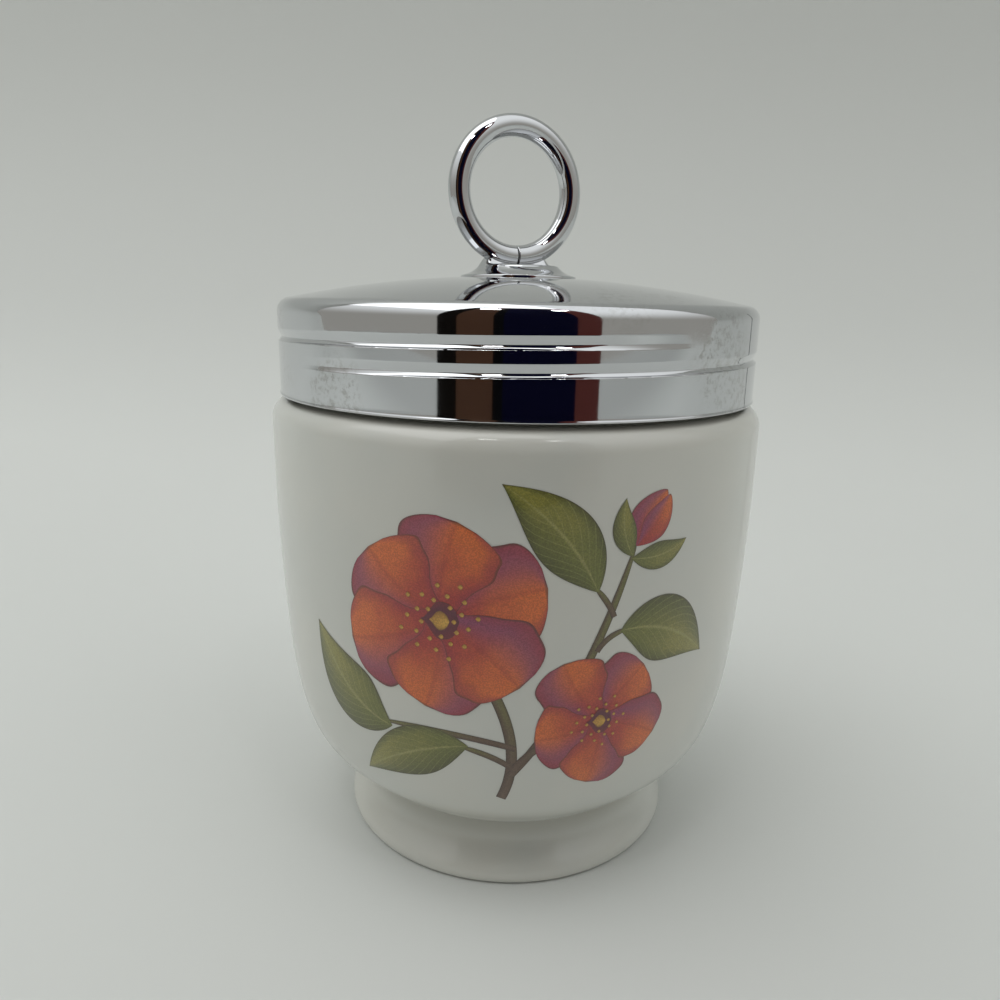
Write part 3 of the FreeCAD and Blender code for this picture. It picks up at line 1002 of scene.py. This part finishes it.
@dataclass(frozen=True)
class Motif:
    """One petal, leaf or stem, drawn flat on the cup's front in millimetres."""

    path: tuple[tuple[float, float], tuple[float, float], tuple[float, float]]
    width: float
    layer: int = 0
    fullest: float = 0.45
    blunt: float = 0.0
    ruffle: float = 0.0
    root: float = 0.0

    def spot(self, t: float) -> tuple[Vector, Vector]:
        """Place and direction of its middle line at a share of its length."""
        a, b, c = (Vector((x, z)) for x, z in self.path)
        here = a * (1 - t) ** 2 + b * 2 * t * (1 - t) + c * t * t
        ahead = (b - a) * (1 - t) + (c - b) * t
        return here, ahead.normalized()

    def half_width(self, t: float) -> float:
        """Half its width at a share of its length."""
        power = math.log(0.5) / math.log(self.fullest)
        body = math.sin(math.pi * min(1.0, max(0.0, t)) ** power)
        full = math.sqrt(max(0.0, 1.0 - max(0.0, (t - self.fullest) / (1.0 - self.fullest)) ** 2.6))
        rise = self.root + (1.0 - self.root) * smooth_step(t / self.fullest)
        shape = body * (1.0 - self.blunt) + full * rise * self.blunt
        return 0.5 * self.width * max(shape, 0.012) * (1.0 + self.ruffle * math.sin(19.0 * t + self.layer))


class Spray:
    """The printed spray on the cup's front: blossoms, leaves and stems under the glaze."""

    PROUD = 0.025
    LAYER = 0.006
    LIFT = 4.5
    STAMENS = 26

    def __init__(self, cup: Cup) -> None:
        """Keeps the cup that the spray is printed on."""
        self.cup = cup
        side = cup.side().points
        self.heights = [p.z for p in side] + [cup.shoulder_z - cup.shoulder_r]
        self.radii = [p.x for p in side] + [cup.body_r]

    def on_cup(self, x: float, z: float, layer: int) -> Vector:
        """The place in metres of a point drawn flat on the front, over so many other prints."""
        reach = float(np.interp(z, self.heights, self.radii)) + self.PROUD + self.LAYER * layer
        turn = x / self.cup.body_r
        return Vector((reach * math.sin(turn), -reach * math.cos(turn), z)) * MM

    def printed(self, name: str, motifs: Iterable[Motif], ink: Ink, long: int,
                wide: int) -> bpy.types.Object:
        """Lays motifs of one ink on the cup.

        Args:
            name: The print's name.
            motifs: The petals, leaves or stems.
            ink: Their ink.
            long: Faces along each.
            wide: Faces across each.

        Returns:
            The print's object.
        """
        bm = bmesh.new()
        chart = bm.loops.layers.uv.new("own_map")
        for motif in motifs:
            grid = bmesh.ops.create_grid(bm, x_segments=long, y_segments=wide, size=1.0)
            flat = {vert: (0.5 + 0.5 * vert.co.x, vert.co.y) for vert in grid["verts"]}
            for face in {face for vert in grid["verts"] for face in vert.link_faces}:
                for loop in face.loops:
                    along, across = flat[loop.vert]
                    loop[chart].uv = (along, 0.5 + 0.5 * across)
            for vert, (along, across) in flat.items():
                here, ahead = motif.spot(along)
                out = Vector((-ahead.y, ahead.x)) * (across * motif.half_width(along))
                vert.co = self.on_cup(here.x + out.x, here.y + out.y, motif.layer)
        for face in bm.faces:
            face.normal_update()
            centre = face.calc_center_median()
            if face.normal.dot(Vector((centre.x, centre.y, 0.0))) < 0.0:
                face.normal_flip()
        return piece(name, bm, [ink.material()], Body.CUP, 180.0)

    def dot(self, x: float, z: float, half: float, layer: int, blunt: float) -> Motif:
        """A small round motif about a place on the front."""
        return Motif(((x - half, z), (x, z), (x + half, z)), 2.0 * half, layer, 0.5, blunt)

    def blossom(self, x: float, z: float, size: float, turn_deg: float, petals: int,
                layer: int) -> list[Motif]:
        """The petals of one open blossom.

        Args:
            x: Its middle, round the front.
            z: Its middle's height.
            size: Length of a petal.
            turn_deg: Angle of the first petal.
            petals: How many.
            layer: The lowest petal's layer.

        Returns:
            Its petals.
        """
        made = []
        for number in range(petals):
            turn = math.radians(turn_deg + FULL_DEG * number / petals)
            way = Vector((math.cos(turn), math.sin(turn)))
            bend = Vector((-way.y, way.x)) * 0.10 * size
            length = size * (1.0 + 0.07 * math.sin(2.3 * number + turn_deg))
            middle = Vector((x, z)) + way * 0.5 * length + bend
            tip = Vector((x, z)) + way * length
            path = ((x, z), tuple(middle), tuple(tip))
            made.append(Motif(path, size * 1.02, layer + number, 0.66, 0.92, 0.035, 0.3))
        return made

    def build(self) -> list[bpy.types.Object]:
        """Prints the whole spray, one object an ink."""
        petal = Ink("petal_ink", (0.38, 0.035, 0.030), (0.66, 0.145, 0.030), (0.30, 0.030, 0.045),
                    (0.20, 0.050, 0.14), (0.25, 0.018, 0.022), 0.0, 0.0, 0.25)
        leaf = Ink("leaf_ink", (0.150, 0.160, 0.032), (0.265, 0.245, 0.050), (0.070, 0.076, 0.020),
                   (0.100, 0.108, 0.024), (0.34, 0.33, 0.11), 9.0, 0.42, 0.7)
        stem = Ink("stem_ink", (0.125, 0.075, 0.045), (0.16, 0.15, 0.045), (0.055, 0.035, 0.022),
                   (0.09, 0.05, 0.035), (0.20, 0.15, 0.09), 0.0, 0.0, 0.3)
        heart = Ink("heart_ink", (0.13, 0.018, 0.030), (0.13, 0.018, 0.030), (0.20, 0.020, 0.030),
                    (0.10, 0.015, 0.035), (0.10, 0.012, 0.020), 0.0, 0.0, 0.0)
        gold = Ink("stamen_ink", (0.50, 0.26, 0.04), (0.62, 0.36, 0.06), (0.20, 0.08, 0.02),
                   (0.42, 0.20, 0.03), (0.60, 0.40, 0.10), 0.0, 0.0, 0.0)
        def drawn(points: Sequence[tuple[float, float]], width: float, layer: int, **shape: float) -> Motif:
            """One motif, lifted to the middle of the cup's front."""
            return Motif(tuple((x, z + self.LIFT) for x, z in points), width, layer, **shape)

        big, small = (-8.5, 41.0 + self.LIFT, 13.2), (12.5, 27.0 + self.LIFT, 9.6)
        petals = self.blossom(*big, 20.0, 6, 4) + self.blossom(*small, 50.0, 5, 4)
        petals += [drawn(((15.8, 50.5), (16.8, 54.0), (19.8, 57.2)), 5.2, 4, blunt=0.3),
                   drawn(((15.8, 50.5), (19.0, 53.0), (20.3, 56.6)), 3.8, 5, blunt=0.3)]
        leaves = [drawn(((-16.0, 24.5), (-24.0, 26.0), (-29.0, 36.5)), 9.4, 3),
                  drawn(((-5.0, 23.5), (-13.5, 22.5), (-22.0, 15.5)), 7.8, 3),
                  drawn(((14.5, 39.5), (22.0, 40.5), (29.5, 33.5)), 9.2, 3),
                  drawn(((11.0, 45.0), (7.5, 53.0), (-1.0, 58.5)), 8.0, 3),
                  drawn(((15.2, 49.0), (20.0, 48.2), (23.6, 50.6)), 3.6, 3),
                  drawn(((15.4, 49.2), (13.2, 52.6), (14.0, 56.6)), 3.2, 5)]
        plain = {"fullest": 0.5, "blunt": 1.0, "root": 1.0}
        stems = [drawn(((-0.5, 15.0), (4.5, 27.0), (-8.5, 41.0)), 1.5, 1, **plain),
                 drawn(((0.6, 19.0), (10.0, 31.0), (15.8, 51.0)), 1.2, 2, **plain),
                 drawn(((0.9, 20.0), (6.0, 26.5), (12.5, 27.0)), 1.1, 2, **plain),
                 drawn(((1.4, 23.5), (-7.0, 26.0), (-17.5, 25.0)), 0.9, 2, **plain),
                 drawn(((0.9, 20.5), (-2.0, 22.6), (-6.0, 23.3)), 0.9, 2, **plain),
                 drawn(((11.4, 37.0), (12.6, 39.2), (15.5, 39.7)), 0.8, 2, **plain),
                 drawn(((13.4, 41.5), (12.6, 43.5), (10.6, 45.6)), 0.8, 2, **plain)]
        hearts, stamens = [], []
        for x, z, size in (big, small):
            hearts.append(self.dot(x, z, 0.19 * size, 12, 1.0))
            stamens.append(self.dot(x, z, 0.10 * size, 13, 0.6))
            for number in range(self.STAMENS):
                turn = number * GOLDEN_TURN
                reach = size * (0.14 + 0.011 * number)
                stamens.append(self.dot(x + reach * math.cos(turn), z + reach * math.sin(turn), 0.026 * size,
                                        14, 0.6))
        return [self.printed("printed_stems", stems, stem, 40, 6),
                self.printed("printed_leaves", leaves, leaf, 56, 24),
                self.printed("printed_petals", petals, petal, 40, 24),
                self.printed("printed_hearts", hearts, heart, 12, 12),
                self.printed("printed_stamens", stamens, gold, 8, 6)]


@dataclass
class Studio:
    """The pale sweep, the soft lamps, the dark cards in front and the camera, in metres and degrees."""

    paper: Colour = (0.680, 0.698, 0.675)
    wall_y: float = 0.30
    cove: float = 0.22
    near: float = -0.90
    half: float = 1.8
    wall_top: float = 1.3
    cove_steps: int = 16
    backdrop: Colour = (0.50, 0.515, 0.50)
    aim: tuple[float, float, float] = (0.0, 0.0, 0.05)
    card_y: float = -0.26
    card_top: float = 0.80
    eye: tuple[float, float, float] = (0.00078, -0.12422, 0.08329)
    pitch: float = 14.28
    roll: float = 1.14
    yaw: float = -1.33
    focal: float = 28.08

    def sweep(self) -> bpy.types.Object:
        """Lays one sheet of paper over the table and up behind it."""
        bm = bmesh.new()
        points = [(self.near, 0.0), (self.wall_y - self.cove, 0.0)]
        for step in range(1, self.cove_steps + 1):
            turn = 0.5 * math.pi * step / self.cove_steps
            points.append((self.wall_y - self.cove + self.cove * math.sin(turn),
                           self.cove * (1.0 - math.cos(turn))))
        points.append((self.wall_y, self.wall_top))
        verts = [bm.verts.new((-self.half, y, z)) for y, z in points]
        edges = [bm.edges.new(pair) for pair in zip(verts, verts[1:])]
        made = bmesh.ops.extrude_edge_only(bm, edges=edges)
        moved = [item for item in made["geom"] if isinstance(item, bmesh.types.BMVert)]
        bmesh.ops.translate(bm, verts=moved, vec=(2.0 * self.half, 0, 0))
        for face in bm.faces:
            face.normal_update()
            if face.normal.z < 0.0 or face.normal.y > 0.5:
                face.normal_flip()
        mesh = meshed("paper", bm)
        mesh.shade_smooth()
        mesh.materials.append(self.paper_finish())
        sheet = linked("paper", mesh)
        return sheet

    def paper_finish(self) -> bpy.types.Material:
        """Pale paper, with painted shade that greys it towards the camera and up the cove."""
        shader = Shader("paper").set(Roughness=0.75, IOR=1.4)
        place = shader.place()
        _, depth, height = shader.split(place)
        grain = shader.ramp(shader.noise(place, 3.0, 2.0), 0.3, 0.7, 0.0, 0.1)
        # Painted shade: the floor greys towards the camera and the paper greys up the cove and wall.
        shade = shader.most(shader.ramp(depth, -0.45, -0.12, 1.0, 0.0),
                            shader.ramp(height, 0.0, 0.09, 0.0, 0.38))
        grey = tuple(0.68 * part for part in self.paper)
        shader.into("Base Color", shader.mix(shader.most(shade, grain), self.paper, grey))
        return shader.material

    def lamp(self, name: str, place: Vector, size: tuple[float, float], power: float) -> bpy.types.Object:
        """Hangs one soft lamp that points at the object.

        Args:
            name: The lamp's name.
            place: Where it hangs.
            size: Its width and height.
            power: Its power in watts.

        Returns:
            The lamp.
        """
        light = bpy.data.lights.new(name, "AREA")
        light.shape = "RECTANGLE"
        light.size, light.size_y = size
        light.energy = power
        turn = (Vector(self.aim) - place).to_track_quat("-Z", "Y").to_matrix().to_4x4()
        made = linked(name, light)
        made.matrix_world = Matrix.Translation(place) @ turn
        return made

    def card(self, name: str, left: float, right: float, high: float, y: float,
             colour: Colour) -> bpy.types.Object:
        """Stands a dark card on the table, seen only in the object's reflections.

        Args:
            name: The card's name.
            left: Its left edge.
            right: Its right edge.
            high: Its upper edge.
            y: Where it stands, front to back.
            colour: Its colour.

        Returns:
            The card.
        """
        bm = bmesh.new()
        bmesh.ops.create_grid(bm, x_segments=1, y_segments=1, size=0.5)
        upright = Matrix.Rotation(-0.5 * math.pi, 3, "X")
        bmesh.ops.rotate(bm, verts=bm.verts, cent=(0, 0, 0), matrix=upright)
        bmesh.ops.scale(bm, verts=bm.verts, vec=(right - left, 1.0, high))
        bmesh.ops.translate(bm, verts=bm.verts, vec=((left + right) / 2.0, y, high / 2.0))
        mesh = meshed(name, bm)
        shader = Shader(name).set(Roughness=1.0, Specular_IOR_Level=0.0, Base_Color=(*colour, 1.0))
        mesh.materials.append(shader.material)
        made = linked(name, mesh)
        made.visible_camera = False
        made.visible_shadow = False
        return made

    def world(self, low: Colour, high: Colour, level: float, above: float) -> None:
        """Fills the room with light that grows towards the ceiling, and shows plain paper to the camera.

        Args:
            low: The light's colour at the height of the eyes.
            high: Its colour straight above.
            level: Its strength at the height of the eyes.
            above: Its strength straight above.
        """
        room = bpy.data.worlds.new("room")
        room.use_nodes = True
        room_nodes = Nodes(room.node_tree)
        way = room_nodes.node("ShaderNodeTexCoord").outputs["Generated"]
        height = room_nodes.ramp(room_nodes.split(way)[2], 0.05, 0.9)
        light = room_nodes.mix(height, tuple(part * level for part in low),
                               tuple(part * above for part in high))
        seen = room_nodes.node("ShaderNodeLightPath").outputs["Is Camera Ray"]
        shown = room_nodes.mix(seen, light, self.backdrop)
        room_nodes.links.new(shown, room_nodes.nodes["Background"].inputs[0])
        bpy.context.scene.world = room

    def camera(self) -> bpy.types.Object:
        """Sets up the camera at the photograph's angle."""
        pitch, roll, yaw = (math.radians(angle) for angle in (self.pitch, self.roll, self.yaw))
        level = math.cos(pitch)
        ahead = Vector((math.sin(yaw) * level, math.cos(yaw) * level, -math.sin(pitch)))
        right = ahead.cross(AXIS).normalized()
        up = right.cross(ahead)
        across = right * math.cos(roll) + up * math.sin(roll)
        upright = up * math.cos(roll) - right * math.sin(roll)
        turn = Matrix((across, upright, -ahead)).transposed().to_4x4()
        lens = bpy.data.cameras.new("camera")
        lens.sensor_width = 36.0
        lens.lens = self.focal
        lens.clip_start = 0.005
        made = linked("camera", lens)
        made.matrix_world = Matrix.Translation(self.eye) @ turn
        bpy.context.scene.camera = made
        return made

    def build(self) -> None:
        """Sets up the whole studio."""
        self.sweep()
        for name, place, size, power in (
                ("top_lamp", (-0.28, -0.12, 0.92), (1.0, 0.8), 2.6),
                ("left_streak", (-0.071, -0.24, 0.48), (0.055, 0.022), 0.08),
                ("right_streak", (0.120, -0.24, 0.48), (0.045, 0.022), 0.07)):
            self.lamp(name, Vector(place), size, power)
        for name, left, right, colour in (
                ("black_card", -0.163, -0.115, (0.010, 0.008, 0.007)),
                ("brown_card", -0.115, -0.041, (0.110, 0.055, 0.035)),
                ("dark_card", -0.041, -0.022, (0.006, 0.006, 0.007)),
                ("navy_card", -0.022, 0.120, (0.005, 0.005, 0.022)),
                ("warm_card", 0.120, 0.182, (0.150, 0.045, 0.040))):
            self.card(name, left, right, self.card_top, self.card_y, colour)
        strip = self.card("thin_strip", 0.1335, 0.1365, 0.12, 0.090, (0.01, 0.01, 0.01))
        strip.visible_diffuse = False
        self.world((1.0, 0.972, 0.885), (0.97, 0.99, 0.985), 0.37, 1.10)
        self.camera()


def main() -> None:
    """Builds every piece in order."""
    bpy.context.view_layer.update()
    cup = Cup()
    lid = Lid()
    ring = RingAndCollar(lid)
    cup.build()
    Spray(cup).build()
    lid.build()
    ring.build_collar()
    ring.build_ring()
    Rivet(lid).build()
    Studio().build()
    bpy.context.scene.view_settings.view_transform = "Standard"
    log.info("sizes written")


if __name__ == "__main__":
    main()
